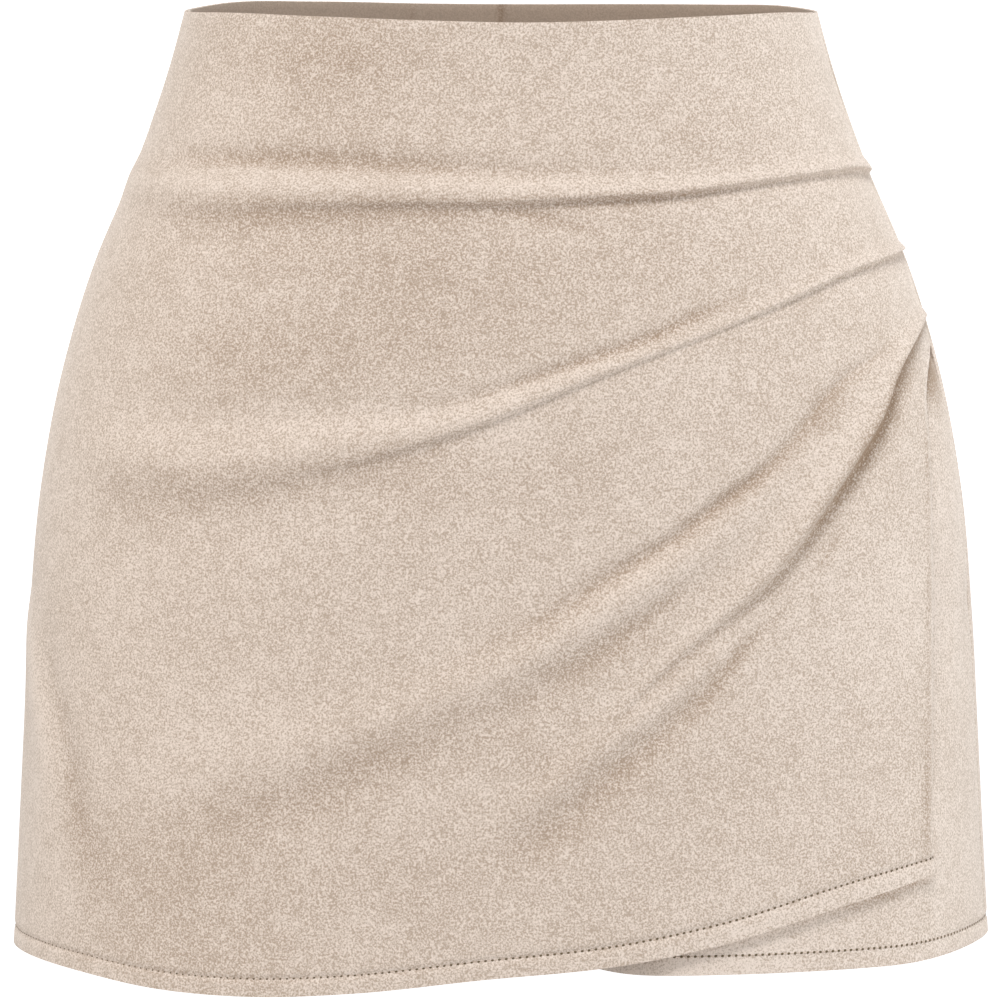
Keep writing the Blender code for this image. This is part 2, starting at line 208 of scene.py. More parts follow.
# How a fold's height runs across it, measured down from its line. The fall just under the crest
# lies on the line itself, and a tuck falls much more steeply than a roll.
TUCK_PROFILE = table(
    "offset height",
    (-0.017, 0),
    (-0.011, 0.28),
    (-0.0058, 0.76),
    (-0.0028, 1),
    (-0.0013, 0.92),
    (0, 0.48),
    (0.0012, 0.06),
    (0.0024, -0.1),
    (0.006, -0.12),
    (0.013, 0),
)
ROLL_PROFILE = table(
    "offset height",
    (-0.027, 0),
    (-0.02, -0.3),
    (-0.013, 0.55),
    (-0.008, 1),
    (-0.003, 0.78),
    (0.004, 0.12),
    (0.012, -0.14),
    (0.024, 0),
)
# The last column of each crease is painted shade in its trough and painted light on its ridge.
WRAP_CREASES = {
    "trough above the upper tuck": crease(
        (-0.15, 0.06, 0, 0.0045, 0),
        (-0.1325, 0.0583, -0.001, 0.004, -0.32),
        (-0.1126, 0.0563, -0.0013, 0.0042, -0.44),
        (-0.0785, 0.0558, -0.0014, 0.0045, -0.44),
        (-0.0394, 0.0575, -0.0013, 0.0048, -0.34),
        (-0.0121, 0.0591, -0.0011, 0.0042, -0.24),
        (0.0113, 0.0606, -0.001, 0.0036, -0.22),
        (0.0331, 0.0605, -0.0007, 0.0032, -0.14),
        (0.0542, 0.059, -0.0003, 0.003, -0.08),
        (0.07, 0.058, 0, 0.003, 0),
    ),
    "branch below the upper tuck": crease(
        (0, 0.0735, 0, 0.0014, 0),
        (0.01, 0.0757, -0.0006, 0.0017, -0.22),
        (0.019, 0.0776, -0.0008, 0.0019, -0.3),
        (0.03, 0.0798, -0.0007, 0.002, -0.28),
        (0.038, 0.0818, -0.0004, 0.0021, -0.14),
        (0.046, 0.0835, 0, 0.0022, 0),
    ),
    "line above the middle tuck": crease(
        (-0.035, 0.155, 0, 0.003, 0),
        (-0.0171, 0.1479, -0.0006, 0.0028, -0.12),
        (-0.0004, 0.1429, -0.0009, 0.0026, -0.24),
        (0.0163, 0.1377, -0.0012, 0.0025, -0.32),
        (0.0362, 0.131, -0.0012, 0.0026, -0.36),
        (0.0561, 0.1243, -0.0012, 0.0027, -0.38),
        (0.0739, 0.1165, -0.001, 0.0028, -0.36),
        (0.083, 0.1124, -0.0007, 0.0028, -0.26),
        (0.0972, 0.1063, -0.0002, 0.0026, -0.04),
        (0.1091, 0.102, 0, 0.0026, 0),
    ),
    "valley of the soft fold": crease(
        (0.157, 0.129, 0, 0.002, 0),
        (0.1458, 0.1345, -0.001, 0.0024, -0.1),
        (0.1328, 0.1434, -0.0016, 0.003, -0.22),
        (0.1176, 0.1609, -0.0019, 0.0034, -0.26),
        (0.1022, 0.1769, -0.0025, 0.0033, -0.4),
        (0.0832, 0.1899, -0.0027, 0.0034, -0.42),
        (0.0658, 0.2032, -0.0025, 0.0038, -0.34),
        (0.0428, 0.216, -0.002, 0.0046, -0.28),
        (0.0179, 0.2322, -0.0011, 0.0055, -0.18),
        (-0.0043, 0.2442, -0.0005, 0.006, -0.08),
        (-0.044, 0.257, 0, 0.006, 0),
    ),
    "ridge of the soft fold": crease(
        (0.14, 0.158, 0, 0.005, 0),
        (0.111, 0.179, 0.0009, 0.006, 0.05),
        (0.083, 0.203, 0.0018, 0.007, 0.06),
        (0.055, 0.2215, 0.0026, 0.008, 0.05),
        (0.027, 0.239, 0.0028, 0.009, 0),
        (0, 0.254, 0.0028, 0.0105, 0),
        (-0.039, 0.271, 0.0026, 0.0125, 0),
        (-0.084, 0.288, 0.0022, 0.014, 0),
        (-0.118, 0.299, 0.0012, 0.015, 0),
        (-0.15, 0.308, 0, 0.015, 0),
    ),
    "trough under the soft fold": crease(
        (0.088, 0.212, 0, 0.003, 0),
        (0.0775, 0.2176, -0.0004, 0.0034, -0.08),
        (0.0697, 0.2221, -0.0007, 0.004, -0.18),
        (0.0498, 0.237, -0.0012, 0.0056, -0.3),
        (0.0183, 0.2575, -0.0009, 0.008, -0.18),
        (-0.0148, 0.2746, -0.0008, 0.01, -0.14),
        (-0.0545, 0.2915, -0.0011, 0.011, -0.26),
        (-0.0862, 0.3059, -0.0009, 0.0125, -0.22),
        (-0.1098, 0.3102, -0.0005, 0.0135, -0.14),
        (-0.135, 0.313, 0, 0.014, 0),
    ),
    "ridge between the lower folds": crease(
        (0.094, 0.24, 0, 0.0035, 0),
        (0.0787, 0.2524, 0.0012, 0.0042, 0),
        (0.0575, 0.2702, 0.002, 0.0055, 0.04),
        (0.0397, 0.2834, 0.002, 0.0062, 0.06),
        (0.019, 0.301, 0.0017, 0.007, 0.04),
        (0.002, 0.311, 0.0008, 0.0075, 0),
        (-0.012, 0.32, 0, 0.008, 0),
    ),
    "trough between the lower folds": crease(
        (0.1018, 0.2345, 0, 0.0028, 0),
        (0.093, 0.2465, -0.001, 0.0034, -0.22),
        (0.0842, 0.2579, -0.0014, 0.0042, -0.32),
        (0.0635, 0.2762, -0.0016, 0.0062, -0.28),
        (0.0467, 0.2904, -0.0014, 0.0076, -0.24),
        (0.0272, 0.3089, -0.0011, 0.0095, -0.22),
        (0.0109, 0.3202, -0.0008, 0.01, -0.18),
        (-0.005, 0.332, 0, 0.01, 0),
    ),
    "shade in the lower tuck's pocket": crease(
        (0.168, 0.124, 0, 0.0012, -0.3),
        (0.163, 0.1325, 0, 0.0026, -0.42),
        (0.1583, 0.1418, 0, 0.0044, -0.46),
        (0.152, 0.155, 0, 0.005, -0.42),
        (0.1412, 0.1745, 0, 0.0046, -0.34),
        (0.128, 0.1925, 0, 0.0036, -0.2),
        (0.118, 0.208, 0, 0.002, 0),
    ),
    "fine line under the lower tuck": crease(
        (0.138, 0.197, 0, 0.001, 0),
        (0.1319, 0.2029, -0.0005, 0.0014, -0.28),
        (0.127, 0.211, -0.0005, 0.0015, -0.3),
        (0.1225, 0.218, 0, 0.0014, 0),
    ),
    "fine line at the lower tuck's foot": crease(
        (0.114, 0.226, 0, 0.0012, 0),
        (0.106, 0.2345, -0.0004, 0.0015, -0.18),
        (0.0971, 0.2426, -0.0005, 0.0016, -0.2),
        (0.085, 0.2559, 0, 0.0016, 0),
    ),
    "ridge by the right side seam": crease(
        (-0.1886, 0.229, 0, 0.003, 0),
        (-0.1858, 0.254, 0.0016, 0.0034, 0.7),
        (-0.1838, 0.27, 0.0018, 0.004, 0.8),
        (-0.1811, 0.286, 0.0018, 0.0052, 0.7),
        (-0.1804, 0.306, 0.0015, 0.006, 0.5),
        (-0.1824, 0.327, 0.0008, 0.006, 0.14),
        (-0.185, 0.344, 0, 0.006, 0),
    ),
    "trough by the right side seam": crease(
        (-0.18, 0.233, 0, 0.004, 0),
        (-0.1778, 0.262, -0.001, 0.0046, -0.16),
        (-0.1737, 0.28, -0.0013, 0.005, -0.24),
        (-0.1697, 0.301, -0.0013, 0.0056, -0.26),
        (-0.1642, 0.322, -0.001, 0.0062, -0.22),
        (-0.1578, 0.34, -0.0004, 0.0066, -0.1),
        (-0.153, 0.35, 0, 0.0066, 0),
    ),
}
# Broad patches in which the cloth is painted darker or lighter.
WRAP_PATCHES = table(
    "x drop half_wide half_high nap",
    (-0.059, 0.016, 0.026, 0.018, -0.2),
    (-0.075, 0.092, 0.045, 0.026, -0.1),
    (-0.02, 0.096, 0.05, 0.026, -0.14),
    (-0.085, 0.132, 0.034, 0.018, -0.14),
    (-0.026, 0.128, 0.036, 0.016, -0.1),
    (0.06, 0.09, 0.04, 0.018, -0.09),
    (0.085, 0.046, 0.036, 0.014, -0.1),
    (-0.03, 0.178, 0.036, 0.014, -0.12),
    (0.151, 0.222, 0.023, 0.026, 0.32),
    (0.06, 0.247, 0.022, 0.011, -0.12),
    (0.02, 0.286, 0.022, 0.012, -0.13),
    (-0.138, 0.338, 0.04, 0.028, -0.16),
    (-0.1, 0.168, 0.034, 0.012, -0.14),
    (-0.052, 0.33, 0.05, 0.02, -0.09),
    (0.062, 0.296, 0.03, 0.014, -0.06),
    (0.14, 0.33, 0.03, 0.012, -0.08),
    (-0.128, 0.272, 0.026, 0.02, 0.12),
    (0.014, 0.15, 0.022, 0.012, 0.13),
    (-0.104, 0.04, 0.02, 0.012, 0.07),
    (0.13, 0.158, 0.01, 0.013, -0.2),
    (-0.085, 0.018, 0.05, 0.02, -0.09),
    (-0.06, 0.052, 0.055, 0.016, -0.06),
    (-0.13, 0.178, 0.03, 0.02, -0.08),
    (-0.11, 0.132, 0.022, 0.018, -0.08),
    (0.02, 0.172, 0.02, 0.016, -0.08),
    (-0.12, 0.366, 0.045, 0.016, -0.09),
    # These two, beside the outline at the wearer's right, are painted light.
    (-0.176, 0.182, 0.012, 0.022, 0.18),
    (-0.184, 0.338, 0.014, 0.022, 0.2),
)
FOLDS = (UPPER_TUCK, MIDDLE_TUCK, SOFT_FOLD, LOWER_TUCK)
# The rows of points beside a fold, measured down from its line, and up from a hem.
FOLD_ROWS = np.array(
    (-24.0, -20.0, -16.5, -13.5, -11.0, -9.0, -7.2, -5.6, -4.3, -3.2, -2.3, -1.6, -1.0, -0.6, -0.2)
    + (0.2, 0.6, 1.0, 1.5, 2.2, 3.2, 4.6, 6.4, 8.5, 11.0)
) / 1000
HEM_ROWS = np.array(
    (13.0, 11.5, 10.2, 9.2, 8.6, 8.2, 7.8, 7.5, 7.1, 6.6, 5.6, 4.4, 3.0, 1.6, 0.6, 0.0)
) / 1000
STITCH_INSET = 0.0075  # the row of stitches above a hem
ROWS_BETWEEN = (20, 18, 14, 8, 36)  # above, between and below the folds
ROLL_REACH = 1.6  # a roll's rows reach this much further than a tuck's
ROW_GAP = 0.00012  # the least drop from one row to the next
LINE_POINTS = 100  # along a fold or crease, joined by straight steps
WRAP_COLUMNS = 195
SEAM_COLUMNS = np.array((0.0, 0.5, 1.2, 2.2)) / 1000  # the columns of points beside a seam
EDGE_COLUMNS = np.array((6.4, 6.0, 4.5, 3.0, 1.8, 0.9, 0.3, 0.0)) / 1000  # and the free edge
EDGE_ROOM = 1.3  # the even columns end this many times as far from it as those begin
EASE_DROP = 0.080  # above and below the seam's end, where the columns turn towards the free edge
EASE_POWER = 45  # how close to the boundary they keep straight there
EDGE_METRES_PER_RADIAN = 0.126  # round the wide oval near the side seams
TUCK_SHADE = 0.0042  # half width of the painted shade in a pressed tuck's pocket
ROLL_SHADE = 0.0080  # and under a soft roll
CREST_LIGHT = 0.30  # a painted highlight lightens a fold's crest by this
CREST_LIFT = 0.0035  # where it stands out this far, and less where it's lower
CREST_MOST = 0.0034  # a higher crest gets no more painted highlight
SEAM_LAP = 0.0004  # how far neighbouring panels run into each other at a seam
SEAM_SINK = 0.0007  # how far cloth dips into a seam or a row of stitches
SEAM_WIDTH = 0.0012  # half width of that dip
HEM_PAINTED_LIGHT = 0.45  # the wrap's turned hem gets painted light towards its free corner
EDGE_SHADE = 1.3  # the weight of the painted shade in WRAP_EDGE
EDGE_ROLL = 0.0004  # the free edge swells by this inside its turned rim
EDGE_DROOP = 0.0006  # and the rim itself falls back by this
EDGE_FREE = 0.006  # the drop below the seam's end at which the edge hangs quite free


def smooth(at, places, values):
    """Reads a table along a smooth curve through its points, level beyond its ends."""
    slopes = np.gradient(values, places)
    at = np.clip(at, places[0], places[-1])
    i = np.clip(np.searchsorted(places, at) - 1, 0, len(places) - 2)
    span = places[i + 1] - places[i]
    t = (at - places[i]) / span
    start = (1 + 2 * t) * (1 - t) ** 2 * values[i] + t * (1 - t) ** 2 * span * slopes[i]
    end = t * t * (3 - 2 * t) * values[i + 1] - t * t * (1 - t) * span * slopes[i + 1]
    return start + end


def ramp(value, start, over):
    """0 before the start and 1 from there over, the other way for a negative distance."""
    return np.clip((value - start) / over, 0, 1)


def band(distance, middle, half_width):
    """1 at the middle, fading softly to 0 on both sides of it."""
    return np.exp(-(((distance - middle) / half_width) ** 2))


def section(column, drop):
    """A measure of the filled-out garment at these drops."""
    return smooth(drop, SECTIONS["drop"], SECTIONS[column])


def power(value, exponent):
    """A power that keeps its sign, for ovals that aren't ellipses."""
    return np.sign(value) * np.abs(value) ** exponent


def oval(angle, half_width, depth, roundness):
    """Points on an oval and the way straight out of it. The angle runs from +X towards -Y."""
    across, forward = np.cos(angle), np.sin(angle)
    x = half_width * power(across, 2 / roundness)
    y = -depth * power(forward, 2 / roundness)
    out_x = power(across, 2 - 2 / roundness) / half_width
    out_y = -power(forward, 2 - 2 / roundness) / depth
    length = np.hypot(out_x, out_y)
    return x, y, out_x / length, out_y / length


def angle_forward(share, roundness):
    """The angle at which an oval is this share of its depth in front of its widest line."""
    return np.arcsin(power(np.clip(share, -1, 1), roundness / 2))


def angle_across(share, roundness):
    """The angle at which an oval is this share of its half width out from its centre."""
    return np.arccos(power(np.clip(share, -1, 1), roundness / 2))


def waist_rise(column, x, drop):
    """How far the waist's edge stands up, fading out a little way below it."""
    fade = np.clip(1 - drop / WAIST_FADE, 0, 1)
    return fade * smooth(x, WAIST_RISE["x"], WAIST_RISE[column])


def beside(x, drop, line):
    """How far points lie below a line drawn from the front, and the line's other columns there."""
    reached = np.hypot(np.diff(line["x"]), np.diff(line["drop"]))
    reached = np.concatenate(([0], np.cumsum(reached)))
    at = np.linspace(0, reached[-1], LINE_POINTS)
    line_x, line_drop = smooth(at, reached, line["x"]), smooth(at, reached, line["drop"])
    below, place = np.full(x.shape, np.inf), np.zeros(x.shape)
    for i, (step_x, step_drop) in enumerate(zip(np.diff(line_x), np.diff(line_drop))):
        off_x, off_drop = x - line_x[i], drop - line_drop[i]
        share = (off_x * step_x + off_drop * step_drop) / (step_x**2 + step_drop**2)
        share = np.clip(share, 0, 1)
        off_x, off_drop = off_x - share * step_x, off_drop - share * step_drop
        distance = np.hypot(off_x, off_drop)
        side = np.where(step_x * off_drop - step_drop * off_x < 0, -1, 1)
        closer = distance < np.abs(below)
        below = np.where(closer, side * distance, below)
        place = np.where(closer, at[i] + share * (at[1] - at[0]), place)
    others = [name for name in line if name not in ("x", "drop")]
    return below, [smooth(place, reached, line[name]) for name in others]


def folded(x, drop, folds):
    """How far the big folds lift the cloth, and the shade and light painted beside them."""
    height, nap = np.zeros(x.shape), np.zeros(x.shape)
    for line in folds:
        below, (lift, sharp, spread, dark) = beside(x, drop, line)
        tuck = smooth(below / spread, TUCK_PROFILE["offset"], TUCK_PROFILE["height"])
        roll = smooth(below / spread, ROLL_PROFILE["offset"], ROLL_PROFILE["height"])
        height += lift * (sharp * tuck + (1 - sharp) * roll)
        across = below / (spread * (TUCK_SHADE * sharp + ROLL_SHADE * (1 - sharp)))
        nap -= dark * band(across, 0.3, 1)
        crest_highlight = CREST_LIGHT * np.minimum(lift, CREST_MOST) / CREST_LIFT
        nap += crest_highlight * band(across, -1.8, 1)
    return height, nap


def creased(x, drop, creases):
    """How the small creases lift or sink the cloth, and the light and shade painted on them."""
    height, nap = np.zeros(x.shape), np.zeros(x.shape)
    for line in creases:
        below, (rise, width, shade) = beside(x, drop, line)
        height += rise * band(below, 0, width)
        nap += shade * band(below, 0, width)
    return height, nap


def patched(nap, x, drop, patches):
    """The painted shading with some patches of it painted darker or lighter."""
    for patch_x, patch_drop, half_wide, half_high, shade in zip(*patches.values()):
        away = ((x - patch_x) / half_wide) ** 2 + ((drop - patch_drop) / half_high) ** 2
        nap = nap + shade * np.exp(-away)
    return nap


def dipped(distance):
    """How far cloth dips beside a seam or a row of stitches at this distance."""
    return -SEAM_SINK * band(distance, 0, SEAM_WIDTH)


def wrap_end(drop):
    """The angle of the wrap's boundary at the left: the side seam, then the free edge."""
    front, half_width = section("front", drop), section("half_width", drop)
    seam = angle_forward(LEFT_SEAM_FORWARD / front, BODY_ROUNDNESS)
    seam = seam - SEAM_LAP / EDGE_METRES_PER_RADIAN
    edge_x = smooth(drop, WRAP_EDGE["drop"], WRAP_EDGE["x"])
    edge = angle_across(edge_x / half_width, BODY_ROUNDNESS)
    return np.where(drop > SEAM_END, np.maximum(seam, edge), seam)


def wrap_angle(drop):
    """The angle of each column of points, for an array of drops whose last axis is the columns."""
    first = np.pi + SEAM_LAP / EDGE_METRES_PER_RADIAN
    seam_side = SEAM_COLUMNS / EDGE_METRES_PER_RADIAN
    turn = EDGE_COLUMNS / EDGE_METRES_PER_RADIAN
    even = WRAP_COLUMNS - len(turn) - len(seam_side)
    start = np.linspace(0, 1, even + 2)[2:]
    share = np.concatenate((np.zeros(len(seam_side)), start, np.ones(len(turn))))
    inward = np.concatenate((-seam_side, np.full(even, EDGE_ROOM * turn[0]), turn))
    eased_drops = np.array((SEAM_END - EASE_DROP, SEAM_END + EASE_DROP))
    eased = np.interp(drop, eased_drops, wrap_end(eased_drops))
    eased = np.where(np.abs(drop - SEAM_END) < EASE_DROP, eased, wrap_end(drop))
    end = eased + (wrap_end(drop) - eased) * share**EASE_POWER
    return first + (end - first) * share + inward * np.where(share > 0, share, 1)


def wrap_oval(drop):
    """The wrap's points at these drops before it is folded, and the way straight out of it."""
    half_width, front = section("half_width", drop), section("front", drop)
    return oval(wrap_angle(drop), half_width, front, BODY_ROUNDNESS)


def line_drops(line):
    """The drop at which each column meets a line that is drawn as seen from the front."""
    drop = np.full(WRAP_COLUMNS, line["drop"].mean())
    for _ in range(30):
        drop = (drop + smooth(wrap_oval(drop)[0], line["x"], line["drop"])) / 2
    return drop


def fold_rows(line):
    """The drops of the rows of points beside one fold, an array of rows by columns."""
    drop = line_drops(line)
    x, y, _, _ = wrap_oval(drop)
    along = np.concatenate(([0], np.cumsum(np.hypot(np.diff(x), np.diff(y)))))
    steepness = np.hypot(1, np.gradient(drop, along))
    spread = smooth(x, line["x"], line["spread"])
    sharp = smooth(x, line["x"], line["sharp"])
    return drop + FOLD_ROWS[:, None] * spread * steepness * (sharp + ROLL_REACH * (1 - sharp))


def hem_depth(x):
    """How deep the turned hem is beside its usual depth."""
    return smooth(x, HEM_DEPTH["x"], HEM_DEPTH["share"])


def wrap_rows():
    """The drops of every row of the wrap, from the waist to the hem."""
    hem_drop = line_drops(WRAP_HEM)
    hem = hem_drop - HEM_ROWS[:, None] * hem_depth(wrap_oval(hem_drop)[0])
    drops = [np.zeros((1, WRAP_COLUMNS))]
    for count, low in zip(ROWS_BETWEEN, [fold_rows(line) for line in FOLDS] + [hem]):
        share = (np.arange(1, count + 1) / (count + 1))[:, None]
        drops += [drops[-1][-1] + (low[0] - drops[-1][-1]) * share, low]
    drops = np.concatenate(drops)
    least = ROW_GAP * np.arange(len(drops))[:, None]
    from_top = np.maximum.accumulate(drops - least, axis=0) + least
    last = len(drops) - len(HEM_ROWS)
    limit = drops[last] - ROW_GAP * (last - np.arange(last))[:, None]
    return np.concatenate((np.minimum(from_top[:last], limit), drops[last:]))


def wrap_panel():
    """The wrap's points, rows by columns, which are on turned cloth, and their painted shading."""
    drop = wrap_rows()
    x, y, out_x, out_y = wrap_oval(drop)
    angle = wrap_angle(drop)
    from_hem = (line_drops(WRAP_HEM) - drop) / hem_depth(x)
    from_end = (angle - wrap_end(drop)) * EDGE_METRES_PER_RADIAN
    from_start = (np.pi - angle) * EDGE_METRES_PER_RADIAN
    free = ramp(drop, SEAM_END, EDGE_FREE)
    lift, nap = folded(x, drop, FOLDS)
    crease_lift, crease_painted_shading = creased(x, drop, WRAP_CREASES.values())
    lift, nap = lift + crease_lift, nap + crease_painted_shading
    nap = patched(nap, x, drop, WRAP_PATCHES)
    # Painted light on the turned hem towards its free corner.
    nap += HEM_PAINTED_LIGHT * band(from_hem, 0.0035, 0.0028) * ramp(x, 0.02, 0.08)
    # Painted shade just inside the free edge.
    edge_painted_shade = smooth(drop, WRAP_EDGE["drop"], WRAP_EDGE["nap"]) * free
    nap += EDGE_SHADE * edge_painted_shade * band(from_end, 0.0042, 0.0026)
    lift += dipped(from_start) + dipped(from_hem - STITCH_INSET) + dipped(from_end) * (1 - free)
    rolled = EDGE_ROLL * band(from_end, 0.0045, 0.0022) - EDGE_DROOP * band(from_end, 0, 0.0010)
    lift += rolled * free
    z = -drop + waist_rise("front", x, drop)
    points = np.stack((x + lift * out_x, y + lift * out_y, z), axis=-1)
    turned = (from_hem < HEM_TURN - TURN_STEP / 2) & (drop > 0)
    turned |= (from_end < EDGE_TURN + TURN_STEP / 2) & (drop > SEAM_END)
    return points, turned, nap


def panel_of_cloth(name, points, turned, nap, faces_out, materials):
    """A panel of cloth: a grid moved to its points, thickened inwards, with softened rims."""
    rows, columns, _ = points.shape
    bpy.ops.object.select_all(action="DESELECT")
    bpy.ops.mesh.primitive_grid_add(x_subdivisions=columns - 1, y_subdivisions=rows - 1)
    panel = bpy.context.object
    panel.name = panel.data.name = name
    panel.data.vertices.foreach_set("co", points[::-1].reshape(-1))
    # Painted light and shade, with broad patches darker or lighter, are kept on the points for the
    # shader.
    shading_and_tone_layer = panel.data.attributes.new("nap", "FLOAT", "POINT")
    shading_and_tone_layer.data.foreach_set("value", nap[::-1].reshape(-1))
    if not faces_out:
        bpy.ops.object.mode_set(mode="EDIT")
        bpy.ops.mesh.select_all(action="SELECT")
        bpy.ops.mesh.flip_normals()
        bpy.ops.object.mode_set(mode="OBJECT")
    for material in materials:
        panel.data.materials.append(material)
    doubled = panel.vertex_groups.new(name="turned")
    doubled.add(np.flatnonzero(turned[::-1]).tolist(), 1.0, "REPLACE")
    wall = panel.modifiers.new("wall", "SOLIDIFY")
    wall.thickness = TURNED_WALL
    wall.offset = -1.0
    wall.vertex_group = doubled.name
    wall.thickness_vertex_group = WALL / TURNED_WALL
    wall.material_offset = 1
    bpy.ops.object.modifier_apply(modifier=wall.name)
    rim = panel.modifiers.new("rim", "BEVEL")
    rim.width = RIM_ROUND
    rim.segments = 2
    rim.limit_method = "ANGLE"
    rim.angle_limit = math.radians(75)
    bpy.ops.object.modifier_apply(modifier=rim.name)
    bpy.ops.object.shade_smooth()
    return panel


NAP_LIGHT = (0.700, 0.602, 0.530, 1.0)
NAP_DARK = (0.430, 0.340, 0.270, 1.0)
# The brown of deep painted shadow.
PAINTED_SHADOW_BROWN = (0.270, 0.178, 0.112, 1.0)
WRONG_SIDE = (0.500, 0.395, 0.315, 1.0)
GRAIN_SIZE = 0.00076  # the tufts of nap
BRUSH_SIZE = 0.0070  # patches that are brushed one way
CLOUD_SIZE = 0.045  # the slow drift of shade across a panel
TUFT_GAIN, BRUSH_GAIN, CLOUD_GAIN = 4.5, 0.7, 0.35  # how strongly each of them shades the suede
PAINTED_SHADING_GAIN = 0.4  # how strongly the painted light and shade change its colour
DEEP_SHADE_BELOW = 1.4  # painted shade turns to the painted shadow brown, more so the further its shade is below this


def suede(name, light, dark):
    """Faux suede: tufts of pile, patches brushed one way or another, painted light and shade kept on
    the points, and a soft bloom at the rims.
    """
    material = bpy.data.materials.new(name)
    material.use_nodes = True
    nodes, links = material.node_tree.nodes, material.node_tree.links
    shader = nodes["Principled BSDF"]
    place = nodes.new("ShaderNodeTexCoord").outputs["Object"]

    def noise(size, detail, roughness):
        texture = nodes.new("ShaderNodeTexNoise")
        texture.inputs["Scale"].default_value = 1 / size
        texture.inputs["Detail"].default_value = detail
        texture.inputs["Roughness"].default_value = roughness
        links.new(place, texture.inputs["Vector"])
        return texture.outputs["Fac"]

    def sums(operation, *values, clamp=False):
        """One step of arithmetic on numbers and other nodes' outputs."""
        node = nodes.new("ShaderNodeMath")
        node.operation, node.use_clamp = operation, clamp
        for socket, value in zip(node.inputs, values):
            if isinstance(value, float):
                socket.default_value = value
            else:
                links.new(value, socket)
        return node.outputs[0]

    def mixed(share, first, second):
        """A mix of two colours, the first of which can be another node's output."""
        node = nodes.new("ShaderNodeMix")
        node.data_type = "RGBA"
        links.new(share, node.inputs["Factor"])
        if isinstance(first, tuple):
            node.inputs["A"].default_value = first
        else:
            links.new(first, node.inputs["A"])
        node.inputs["B"].default_value = second
        return node.outputs["Result"]

    tufts = noise(GRAIN_SIZE, detail=2.0, roughness=0.6)
    brushed = noise(BRUSH_SIZE, detail=3.0, roughness=0.6)
    clouds = noise(CLOUD_SIZE, detail=2.0, roughness=0.5)
    # The painted light and shade kept on each panel's points change its colour.
    attribute = nodes.new("ShaderNodeAttribute")
    attribute.attribute_name = "nap"
    shading_and_tone_layer = attribute.outputs["Fac"]
    shade = sums("MULTIPLY_ADD", shading_and_tone_layer, PAINTED_SHADING_GAIN, 0.5)
    for value, gain in ((tufts, TUFT_GAIN), (brushed, BRUSH_GAIN), (clouds, CLOUD_GAIN)):
        shade = sums("MULTIPLY_ADD", sums("SUBTRACT", value, 0.5), gain, shade)
    # Where shade is painted deep, the colour is mixed towards the painted shadow brown.
    painted_shadow_share = sums("MULTIPLY", shading_and_tone_layer, sums("SUBTRACT", shade, DEEP_SHADE_BELOW), clamp=True)
    colour = mixed(painted_shadow_share, mixed(shade, dark, light), PAINTED_SHADOW_BROWN)
    links.new(colour, shader.inputs["Base Color"])
    relief = nodes.new("ShaderNodeBump")
    relief.inputs["Strength"].default_value = 0.35
    relief.inputs["Distance"].default_value = 0.0004
    links.new(tufts, relief.inputs["Height"])
    links.new(relief.outputs["Normal"], shader.inputs["Normal"])
    shader.inputs["Roughness"].default_value = 0.95
    shader.inputs["Specular IOR Level"].default_value = 0.15
    shader.inputs["Sheen Weight"].default_value = 0.35
    shader.inputs["Sheen Roughness"].default_value = 0.55
    shader.inputs["Sheen Tint"].default_value = (1.0, 0.94, 0.88, 1.0)
    return material


STITCH_PITCH = 0.0027
STITCH_SLANT = 0.30  # radians, of the needle holes to the row
HOLE_SIZE = (0.00068, 0.00056, 0.00018)  # half sizes along the row, up the cloth and out of it
THREAD_SIZE = (0.00105, 0.00019, 0.00022)
FINER = table("x size", (-0.15, 0.6), (0.02, 1.0))  # the stitches get finer to the wearer's right
THREAD = (0.56, 0.46, 0.38, 1.0)
# The needle holes are dark marks: painted shade for the pit of each hole.
HOLE_SHADE = (0.130, 0.095, 0.055, 1.0)
# The row of points that the stitches lie on, counted back from the hem.
STITCH_ROW = np.flatnonzero(HEM_ROWS == STITCH_INSET)[0] - len(HEM_ROWS)


